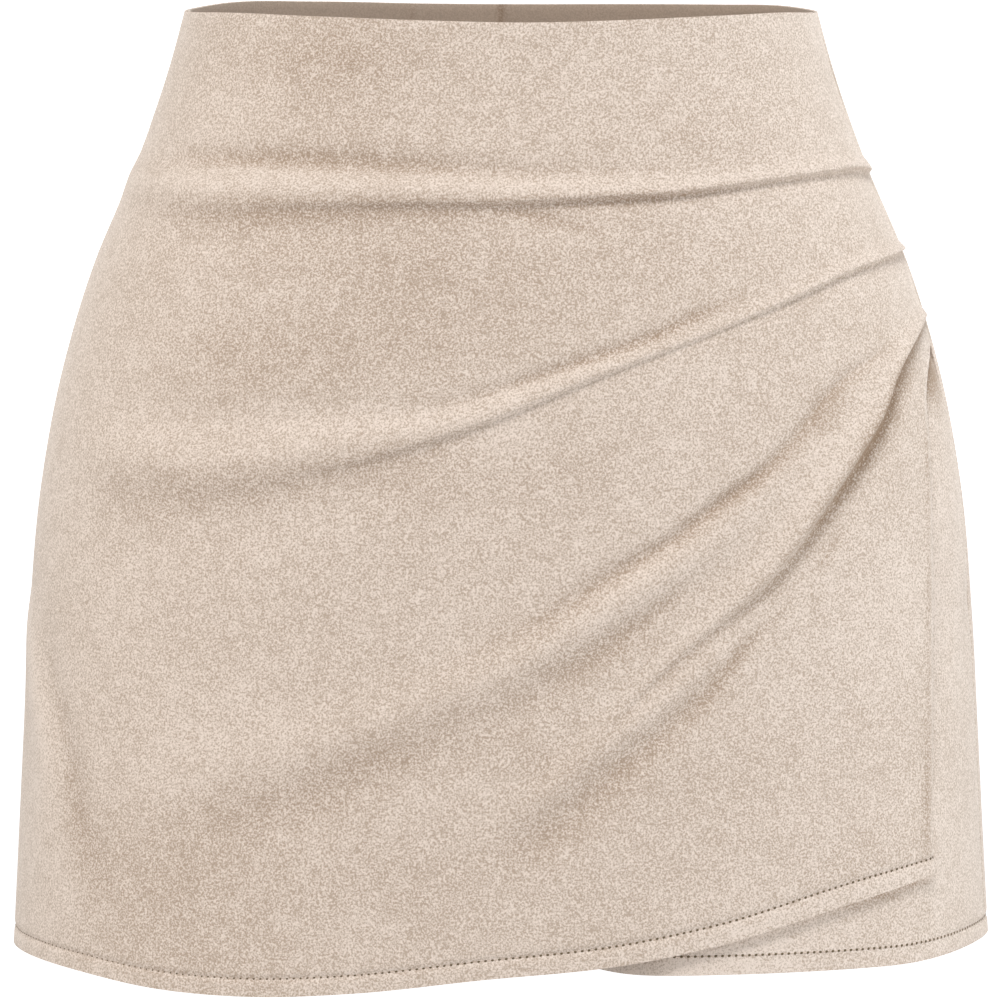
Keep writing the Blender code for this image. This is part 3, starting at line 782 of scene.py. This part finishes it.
def stitching(name, points, faces_out):
    """A row of stitches along a hem, each a short raised thread between two needle holes, which are
    dark marks painted for the shade in them.
    """
    line = points[STITCH_ROW]
    reached = np.concatenate(([0], np.cumsum(np.linalg.norm(np.diff(line, axis=0), axis=1))))
    count = int(reached[-1] / STITCH_PITCH)
    at = (np.arange(count) + 0.5) * reached[-1] / count

    def along_row(values):
        return np.stack([np.interp(at, reached, column) for column in values.T], axis=-1)

    def unit(vectors):
        return vectors / np.linalg.norm(vectors, axis=1, keepdims=True)

    place, along = along_row(line), unit(along_row(np.gradient(line, axis=0)))
    out = np.cross(along, along_row(points[STITCH_ROW - 1] - points[STITCH_ROW + 1]))
    out = unit(out) * (1 if faces_out else -1)
    up = np.cross(out, along)
    bpy.ops.object.select_all(action="DESELECT")
    bpy.ops.mesh.primitive_uv_sphere_add(segments=8, ring_count=5, radius=1)
    row = bpy.context.object
    row.name = row.data.name = name
    ball = np.array([vertex.co for vertex in row.data.vertices])
    ball_faces = [list(face.vertices) for face in row.data.polygons]
    slanted = math.cos(STITCH_SLANT) * along + math.sin(STITCH_SLANT) * up
    across = math.cos(STITCH_SLANT) * up - math.sin(STITCH_SLANT) * along
    half = along * STITCH_PITCH / 2
    vertices, faces = [], []
    fine = np.interp(place[:, 0], FINER["x"], FINER["size"])[:, None, None]
    for centre, axes, size in (
        (place, (along, up, out), THREAD_SIZE),
        (place + half, (slanted, across, out), HOLE_SIZE),
    ):
        spread = fine * sum(
            (ball[:, i] * size[i])[None, :, None] * axes[i][:, None, :] for i in range(3)
        )
        first = sum(len(part) for part in vertices)
        vertices.append((centre[:, None, :] + spread).reshape(-1, 3))
        starts = first + len(ball) * np.arange(count)
        faces += [[start + corner for corner in face] for start in starts for face in ball_faces]
    row.data.clear_geometry()
    row.data.from_pydata(np.concatenate(vertices).tolist(), [], faces)
    row.data.materials.append(thread_look)
    row.data.materials.append(hole_shade_look)
    holes = np.arange(len(faces)) >= count * len(ball_faces)
    row.data.polygons.foreach_set("material_index", holes.astype(np.int32))
    bpy.ops.object.shade_smooth()
    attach(row, "root")
    return row


FIBRE_SIZE = 0.0004
FIBRE_SHADES = (0.8, 1.2)  # the darkest and lightest fibres beside the thread's own colour


def matt(name, colour, roughness):
    """A matt look with a little unevenness, for thread and for the painted shade of needle holes."""
    material = bpy.data.materials.new(name)
    material.use_nodes = True
    nodes, links = material.node_tree.nodes, material.node_tree.links
    shader = nodes["Principled BSDF"]
    fibre = nodes.new("ShaderNodeTexNoise")
    fibre.inputs["Scale"].default_value = 1 / FIBRE_SIZE
    links.new(nodes.new("ShaderNodeTexCoord").outputs["Object"], fibre.inputs["Vector"])
    tint = nodes.new("ShaderNodeMix")
    tint.data_type = "RGBA"
    for end, share in zip("AB", FIBRE_SHADES):
        tint.inputs[end].default_value = [share * part for part in colour[:3]] + [1.0]
    links.new(fibre.outputs["Fac"], tint.inputs["Factor"])
    links.new(tint.outputs["Result"], shader.inputs["Base Color"])
    shader.inputs["Roughness"].default_value = roughness
    return material


thread_look = matt("thread", THREAD, 0.7)
hole_shade_look = matt("needle_hole_shade", HOLE_SHADE, 1.0)
face_suede = suede("suede", NAP_LIGHT, NAP_DARK)
wrong_side = suede("suede_wrong_side", WRONG_SIDE, NAP_DARK)
wrap_points, wrap_turned, wrap_shading_and_tone = wrap_panel()
wrap = panel_of_cloth("wrap", wrap_points, wrap_turned, wrap_shading_and_tone, True, (face_suede, wrong_side))
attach(wrap, "root")
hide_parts("wrap_front")
wrap_stitches = stitching("wrap_hem_stitches", wrap_points, True)

# Four loose ends of thread fan out where the row of stitches stops at the free corner.
end_place, end_before = wrap_points[STITCH_ROW, -2], wrap_points[STITCH_ROW, -6]
end_out = np.cross(end_place - end_before, wrap_points[STITCH_ROW - 4, -2] - end_place)
end_out = end_out / np.linalg.norm(end_out)
THREAD_ENDS = table(
    "lean length stand",
    (-0.9, 0.0042, 0.8),
    (-0.3, 0.0056, 0.5),
    (0.2, 0.0047, 1.0),
    (0.9, 0.0036, 0.6),
)
THREAD_RADIUS = 0.00013
THREAD_STAND = 0.0012  # how far the tip of one that stands 1.0 is off the cloth
THREAD_SWAY = 0.0016  # how far it sways on its way there
ends = []
for lean, length, stand in zip(*THREAD_ENDS.values()):
    bpy.ops.object.select_all(action="DESELECT")
    bpy.ops.curve.primitive_bezier_curve_add()
    end = bpy.context.object
    end.data.bevel_depth = THREAD_RADIUS
    end.data.bevel_resolution = 1
    end.data.resolution_u = 5
    up = np.array((math.sin(lean), 0.25, math.cos(lean)))
    bend = np.array((math.cos(lean), 0.0, -math.sin(lean)))
    tip = end_place + length * up + THREAD_STAND * stand * end_out
    spline = end.data.splines[0]
    for point, at, reach in ((0, end_place, 0.3), (1, tip, -0.3)):
        knot = spline.bezier_points[point]
        knot.co = at
        sway = (0.25 * bend + stand * end_out * (0.5 - point)) * THREAD_SWAY
        knot.handle_left = at - reach * length * up - sway
        knot.handle_right = at + reach * length * up + sway
    ends.append(end)
bpy.ops.object.select_all(action="DESELECT")
for end in ends:
    end.select_set(True)
bpy.context.view_layer.objects.active = ends[0]
bpy.ops.object.convert(target="MESH")
bpy.ops.object.join()
thread_ends = bpy.context.object
thread_ends.name = thread_ends.data.name = "thread_ends"
thread_ends.data.materials.clear()
thread_ends.data.materials.append(thread_look)
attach(thread_ends, "root")

# ------------------------ the shorts
# Four panels of the same suede, a front and a back for each leg, joined at the sides, the centre
# and the inseams. Each leg's hem is turned up and stitched, and each back has a waist dart.

RIGHT_SEAM_FORWARD = 0.0  # the right side seam runs down the widest line
LEG_HEM = 0.3724
LEG_METRES_PER_RADIAN = 0.13  # round a leg
# How far the fronts lie inside their ovals to leave room for the wrap, at the side seams and past
# them, and the angle over which that grows.
SHORTS_INSET = table(
    "drop at_seam inside",
    (0.000, 0.0013, 0.0013),
    (0.015, 0.0022, 0.0022),
    (0.060, 0.0022, 0.0036),
    (0.100, 0.0018, 0.0040),
    (0.300, 0.0018, 0.0036),
    (0.350, 0.0020, 0.0030),
    (0.380, 0.0026, 0.0030),
)
INSET_ANGLE = 0.11
LEAST_ANGLE = 0.025  # where the wrap's free edge comes near the side seam
UNCOVER_DROP = 0.025  # below the seam's end, the left front comes out to its oval over this
INSEAM_TOP, INSEAM_FADE = 0.287, 0.025  # and all fronts do at the inseams, from just above them
INSEAM_WIDTH = 0.03  # as far as this from the seam
CROTCH, CROTCH_FADE = 0.2945, 0.006  # where the legs part, and the seams' extra lap ends
LEAN_LAP = 0.0012  # the centre seams lap this much more where the panels lean to the middle
LEAST_UPRIGHT = 0.12  # limits that lap where they face each other across the middle
WRAP_ROOM = 0.0029  # near the wrap's hem the fronts lie this far behind its face, where drawn is 1
DRAWN = table("x drawn", (0.02, 0), (0.05, 0.8), (0.09, 1), (0.14, 1), (0.17, 0.9), (0.19, 0))
DRAWN_TOP, DRAWN_FADE = 0.24, 0.08
SHORTS_ROWS = 120
SHORTS_COLUMNS = 72
HEM_RISE = {"left": 0.0045, "right": 0.0010}  # how far each leg's hem rises to its side seam
RISE_X, RISE_WIDTH = 0.150, 0.045  # where it starts to rise, and over how much
RISE_POWER = 8  # how soon that fades out above the hem
CENTRE_SHADE = 0.45  # painted shade along the backs' centre seam and the inseams
# The left back also gets painted shade along two stretches of its side seam, as far as this from it.
SIDE_SHADES = table("drop half_high", (0.026, 0.010), (0.118, 0.012))
SIDE_SHADE, SIDE_SHADE_WIDTH = 0.5, 0.006
# The left front gets painted shade in the corner where the wrap leaves the side seam.
CORNER_PAINTED_SHADE = table("x drop half_wide half_high nap", (0.1715, 0.139, 0.006, 0.014, -1.0))
# The last column of each crease is painted shade in its trough and painted light on its ridge.
BACK_DART = crease(
    (0.037, -0.004, -0.0014, 0.0011, -0.22),
    (0.0372, 0.04, -0.0013, 0.0011, -0.19),
    (0.0378, 0.08, -0.0007, 0.0012, -0.1),
    (0.0382, 0.098, 0, 0.0014, 0),
)
SHORTS_CREASES = {
    "back left": {
        "dart": BACK_DART,
        "crease under the seat": crease(
            (0.01, 0.258, 0, 0.004, 0),
            (0.026, 0.268, -0.0021, 0.005, -0.34),
            (0.055, 0.279, -0.0028, 0.0065, -0.43),
            (0.088, 0.285, -0.002, 0.0075, -0.31),
            (0.118, 0.286, 0, 0.008, 0),
        ),
        "crease above it": crease(
            (0.014, 0.23, 0, 0.004, 0),
            (0.036, 0.239, -0.0011, 0.005, -0.17),
            (0.066, 0.242, -0.0013, 0.006, -0.19),
            (0.094, 0.239, 0, 0.006, 0),
        ),
        "ridge on the thigh": crease(
            (0.046, 0.302, 0, 0.005, 0),
            (0.068, 0.308, 0.0015, 0.007, 0.24),
            (0.098, 0.31, 0.002, 0.008, 0.31),
            (0.132, 0.306, 0, 0.008, 0),
        ),
        "crease from the side seam": crease(
            (0.15, 0.124, 0, 0.005, 0),
            (0.128, 0.133, -0.0011, 0.005, -0.17),
            (0.098, 0.142, -0.0013, 0.005, -0.19),
            (0.07, 0.145, 0, 0.005, 0),
        ),
        "ridge by the side seam": crease(
            (0.176, 0.23, 0, 0.004, 0),
            (0.174, 0.264, 0.0014, 0.0045, 0.22),
            (0.169, 0.302, 0.0015, 0.005, 0.24),
            (0.166, 0.344, 0, 0.005, 0),
        ),
    },
    "back right": {
        "dart": BACK_DART,
        "crease under the seat": crease(
            (0.012, 0.262, 0, 0.004, 0),
            (0.032, 0.274, -0.0025, 0.0055, -0.38),
            (0.062, 0.285, -0.0027, 0.007, -0.41),
            (0.098, 0.288, -0.0014, 0.0075, -0.22),
            (0.128, 0.286, 0, 0.008, 0),
        ),
        "ridge on the thigh": crease(
            (0.03, 0.296, 0, 0.005, 0),
            (0.05, 0.308, 0.0017, 0.006, 0.26),
            (0.076, 0.317, 0.0018, 0.0075, 0.29),
            (0.11, 0.32, 0, 0.008, 0),
        ),
        "crease from the side seam": crease(
            (0.146, 0.098, 0, 0.0045, 0),
            (0.12, 0.108, -0.0013, 0.005, -0.19),
            (0.088, 0.114, -0.0011, 0.005, -0.17),
            (0.06, 0.116, 0, 0.005, 0),
        ),
        "trough by the side seam": crease(
            (0.181, 0.204, 0, 0.004, 0),
            (0.178, 0.242, -0.0013, 0.0045, -0.19),
            (0.172, 0.282, -0.0014, 0.005, -0.22),
            (0.17, 0.326, 0, 0.005, 0),
        ),
    },
    "front left": {
        "trough by the side seam": crease(
            (0.191, 0.208, 0, 0.0016, 0),
            (0.187, 0.23, -0.0006, 0.002, -0.05),
            (0.184, 0.262, -0.0006, 0.0022, -0.05),
            (0.184, 0.296, 0, 0.0022, 0),
        ),
    },
    "front right": {},
}


def shorts_columns(start, end):
    """The angle of each column of points from one seam to the other, and how far it is from both."""
    arc = LEG_METRES_PER_RADIAN * np.abs(end - start)
    even = np.linspace(0, 1, SHORTS_COLUMNS)[2:-2]
    none = 0.0 * SEAM_COLUMNS
    share = np.concatenate((SEAM_COLUMNS, 0.0 * even, none)) / arc
    share += np.concatenate((none, even, 1 + none))
    share -= np.concatenate((none, 0.0 * even, SEAM_COLUMNS[::-1])) / arc
    return start + (end - start) * share, share * arc, (1 - share) * arc


def drawn_forward(x, y, drop):
    """A front's points, drawn forward until they lie just behind the wrap near its hem."""
    across = angle_across(x / section("half_width", drop), BODY_ROUNDNESS)
    _, forward, _, _ = oval(across, 1, 1, BODY_ROUNDNESS)
    behind_wrap = forward * section("front", drop) + WRAP_ROOM
    drawn = smooth(x, DRAWN["x"], DRAWN["drawn"])
    return y + drawn * np.minimum(behind_wrap - y, 0) * ramp(drop, DRAWN_TOP, DRAWN_FADE)


def uncovered_painted_shading(nap, x, drop, edge_x):
    """The left front's painted shading where it shows past the wrap: painted light on a wedge under
    the wrap's hem, a painted shadow along that hem, and a strip beside its free edge, painted light
    below and painted shade at its top.
    """
    nap = nap + 1.0 * (ramp(x, 0.150, -0.07) * ramp(drop, 0.330, 0.02))
    below_hem = drop - smooth(x, WRAP_HEM["x"], WRAP_HEM["drop"])
    nap -= 0.5 * band(below_hem, 0.0008, 0.0016) * (x < edge_x)
    nap += 0.35 * band(drop, 0.215, 0.035) * (x > edge_x - 0.004)
    nap += 0.30 * band((x - edge_x) / 0.003, 0.3, 1) * ramp(drop, 0.165, 0.02)
    return patched(nap, x, drop, CORNER_PAINTED_SHADE)


def shorts_panel(side_name, is_left, is_front):
    """A shorts panel's points, rows by columns, which are on turned cloth, and their painted
    shading.
    """
    hem = LEG_HEM - HEM_ROWS
    drop = np.concatenate((np.linspace(0, hem[0], SHORTS_ROWS)[:-1], hem))[:, None]
    face = "front" if is_front else "back"
    centre, roundness = section("leg_centre", drop), section("leg_roundness", drop)
    front, back = section("leg_front", drop), section("back", drop)
    half_width = section("half_width", drop) - centre
    at_seam, inside = (
        np.interp(drop, SHORTS_INSET["drop"], SHORTS_INSET[name]) * is_front
        for name in ("at_seam", "inside")
    )
    uncovered = ramp(drop, SEAM_END, UNCOVER_DROP) * (is_left and is_front)
    at_seam = at_seam * (1 - uncovered)
    at_inseam = inside * ramp(drop, INSEAM_TOP, -INSEAM_FADE)

    # The columns run from the side seam to the centre seam, and below the crotch to the inseam.
    seam_forward = LEFT_SEAM_FORWARD if is_left else RIGHT_SEAM_FORWARD
    start = angle_forward(seam_forward / (front - at_seam), roundness)
    centre_seam = angle_across(-centre / (half_width - at_inseam), roundness)
    _, _, lean, _ = oval(centre_seam, half_width, front if is_front else back, roundness)
    lean = np.clip(-lean, 0, 1) * ramp(drop, CROTCH, -CROTCH_FADE)
    lap = (SEAM_LAP + LEAN_LAP * lean) / np.sqrt(np.maximum(1 - lean**2, LEAST_UPRIGHT))
    way = 1 if is_front else -1
    start = start - way * SEAM_LAP / LEG_METRES_PER_RADIAN
    end = way * (centre_seam + lap / LEG_METRES_PER_RADIAN)
    angle, from_side, from_centre = shorts_columns(start, end)

    # How far each point is sunk inside its oval.
    edge_x = smooth(drop, WRAP_EDGE["drop"], WRAP_EDGE["x"])
    edge = angle_across((edge_x - centre) / half_width, roundness)
    reach = np.where(uncovered > 0, np.maximum(edge - start, LEAST_ANGLE), INSET_ANGLE)
    covered = np.clip((angle - start) / reach, 0, 1)
    steep = np.where(uncovered > 0, covered**2, np.sin(covered * np.pi / 2))
    sunk = at_seam + (inside - at_seam) * steep
    sunk += (at_inseam - inside) * np.clip(1 - from_centre / INSEAM_WIDTH, 0, 1) ** 2
    sunk = sunk - dipped(np.minimum(from_side, from_centre)) - dipped(LEG_HEM - drop - STITCH_INSET)
    depth = np.where(angle > 0, front, back)
    x, _, _, _ = oval(angle, half_width - sunk, depth - sunk, roundness)
    creases = SHORTS_CREASES[f"{face} {side_name}"].values()
    lift, nap = creased(x + centre, drop + 0 * x, creases)
    sunk = sunk - lift
    x, y, _, _ = oval(angle, half_width - sunk, depth - sunk, roundness)
    x = x + centre
    if is_front:
        y = drawn_forward(x, y, drop)
    side = 1 if is_left else -1
    rise = ramp(x, RISE_X, RISE_WIDTH) ** 2 * (drop / LEG_HEM) ** RISE_POWER
    z = -drop + waist_rise(face, side * x, drop) + HEM_RISE[side_name] * rise
    turned = np.broadcast_to(LEG_HEM - drop < HEM_TURN - TURN_STEP / 2, x.shape)

    if is_left and is_front:
        nap = uncovered_painted_shading(nap, x, drop, edge_x)
    if not is_front:
        nap -= CENTRE_SHADE * band(from_centre, 0, SEAM_WIDTH)
    if is_left and not is_front:
        dark = sum(band(drop, *stretch) for stretch in zip(*SIDE_SHADES.values()))
        nap -= SIDE_SHADE * dark * band(from_side, 0, SIDE_SHADE_WIDTH)
    return np.stack((side * x, y, z), axis=-1), turned, nap


# Each of the four shorts panels, with the row of stitches along its hem.
for side_name in ("left", "right"):
    for face_name in ("front", "back"):
        is_left, is_front = side_name == "left", face_name == "front"
        points, turned, nap = shorts_panel(side_name, is_left, is_front)
        node = f"shorts_{face_name}_{side_name}"
        faces_out = is_left != is_front
        panel = panel_of_cloth(
            node + "_cloth", points, turned, nap, faces_out, (face_suede, wrong_side)
        )
        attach(panel, "root")
        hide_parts(node)
        stitches = stitching(node + "_hem_stitches", points, faces_out)

# ------------------------ the studio
# A pale floor far below and a pale wall that glows softly far behind. One soft light hangs high in
# front, with weaker ones at both sides and low in front. The camera stands far off, a little above.

PAPER = (0.82, 0.82, 0.82, 1.0)
for name, size, place, turn, glow in (
    ("floor", 40, (0, -13.5, -1.3), 0, 0.0),
    ("backdrop", 26, (0, 7.5, 0), math.pi / 2, 0.8),
):
    bpy.ops.object.select_all(action="DESELECT")
    bpy.ops.mesh.primitive_plane_add(size=size, location=place, rotation=(turn, 0, 0))
    piece = bpy.context.object
    piece.name = name
    paper = bpy.data.materials.new(name + "_paper")
    paper.use_nodes = True
    shader = paper.node_tree.nodes["Principled BSDF"]
    shader.inputs["Base Color"].default_value = PAPER
    shader.inputs["Roughness"].default_value = 0.9
    shader.inputs["Emission Color"].default_value = (1.0, 1.0, 1.0, 1.0)
    shader.inputs["Emission Strength"].default_value = glow
    piece.data.materials.append(paper)

ROOM_LIGHT = 0.32
world = bpy.data.worlds.new("studio")
bpy.context.scene.world = world
world.use_nodes = True
background = world.node_tree.nodes["Background"]
background.inputs["Color"].default_value = (1.0, 1.0, 1.0, 1.0)
background.inputs["Strength"].default_value = ROOM_LIGHT

LIGHT_SIZE = 1.2
AIMED_DROP = 0.2  # all lights are aimed at the middle of the garment
for name, place, watts, tint in (
    ("key_light", (-0.10, -1.95, 3.15), 112, (1.0, 1.0, 1.0)),
    ("left_light", (-2.4, -0.9, 0.3), 20, (1.0, 0.96, 0.90)),
    ("right_light", (2.4, -0.3, 0.1), 31, (0.92, 0.97, 1.0)),
    ("low_light", (0.4, -2.6, -1.0), 12, (1.0, 1.0, 1.0)),
):
    bpy.ops.object.select_all(action="DESELECT")
    bpy.ops.object.light_add(type="AREA", location=place)
    light = bpy.context.object
    light.name = name
    light.visible_camera = False
    light.data.size = LIGHT_SIZE
    light.data.energy = watts
    light.data.color = tint
    x, y, z = place[0], place[1], place[2] + AIMED_DROP
    light.rotation_euler = (math.atan2(math.hypot(x, y), z), 0, math.atan2(x, -y))

LOOKS_DOWN = 4.645  # degrees
scene = bpy.context.scene
scene.view_settings.view_transform = "Standard"
camera_data = bpy.data.cameras.new("camera")
camera_data.lens = 361.2
camera_data.sensor_width = 36.0
camera_data.clip_end = 30
camera = bpy.data.objects.new("camera", camera_data)
scene.collection.objects.link(camera)
camera.location = (-0.0004, -4.0, 0.130)
camera.rotation_euler = (math.radians(90 - LOOKS_DOWN), 0, 0)
scene.camera = camera
